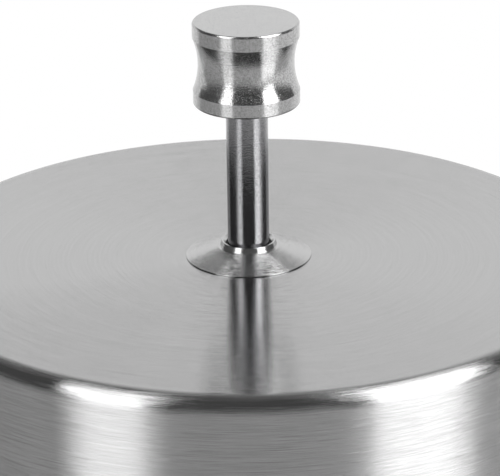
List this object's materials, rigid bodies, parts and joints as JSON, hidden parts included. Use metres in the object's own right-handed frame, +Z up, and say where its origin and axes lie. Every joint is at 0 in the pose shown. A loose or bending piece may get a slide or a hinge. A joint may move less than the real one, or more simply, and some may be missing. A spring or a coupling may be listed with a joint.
{
  "type": "burger press",
  "caption": "Push-knob burger press: an open-bottomed brushed steel drum with a rounded shoulder, and a sprung plunger whose knob drives a round plate down to press and release the patty.",
  "frame": {"origin": "centre of the drum's rim, on the surface that the press stands on", "axes": "+Z up along the rod, from the rim to the knob; X and Y across the drum, which is round"},
  "size_m": [0.1016, 0.1016, 0.1053],
  "materials": {
    "drum_steel": "stainless sheet, brushed in circles round the axis",
    "turned_steel": "stainless bar, fine turned",
    "rod_steel": "stainless bar, drawn and polished",
    "fastener_steel": "plain stainless fastener",
    "spring_steel": "drawn stainless spring wire",
    "liner_polymer": "dark low-friction polymer"
  },
  "bodies": {
    "drum": {"drum_shell": "drum_steel", "guide_barrel": "turned_steel", "barrel_washer": "fastener_steel", "barrel_nut": "fastener_steel", "barrel_end_cap": "turned_steel", "upper_liner": "liner_polymer", "lower_liner": "liner_polymer", "return_spring": "spring_steel"},
    "spring_carrier": {"spring_seat": "fastener_steel"},
    "plunger": {"plunger_rod": "rod_steel", "retaining_clip": "spring_steel", "knob": "turned_steel", "plate_hub": "turned_steel", "press_plate": "drum_steel", "plate_screw": "fastener_steel"}
  },
  "joints": [
    {"name": "plunger_press", "type": "slide", "parent": "drum", "child": "spring_carrier", "axis": [0, 0, -1], "range_m": [0, 0.0201], "stiffness_N_per_m": 585, "springref_m": -0.0092, "deforming": ["return_spring"]},
    {"name": "plunger_spin", "type": "hinge", "parent": "spring_carrier", "child": "plunger", "pos_m": [0, 0, 0.0616], "axis": [0, 0, 1], "continuous": true}
  ]
}
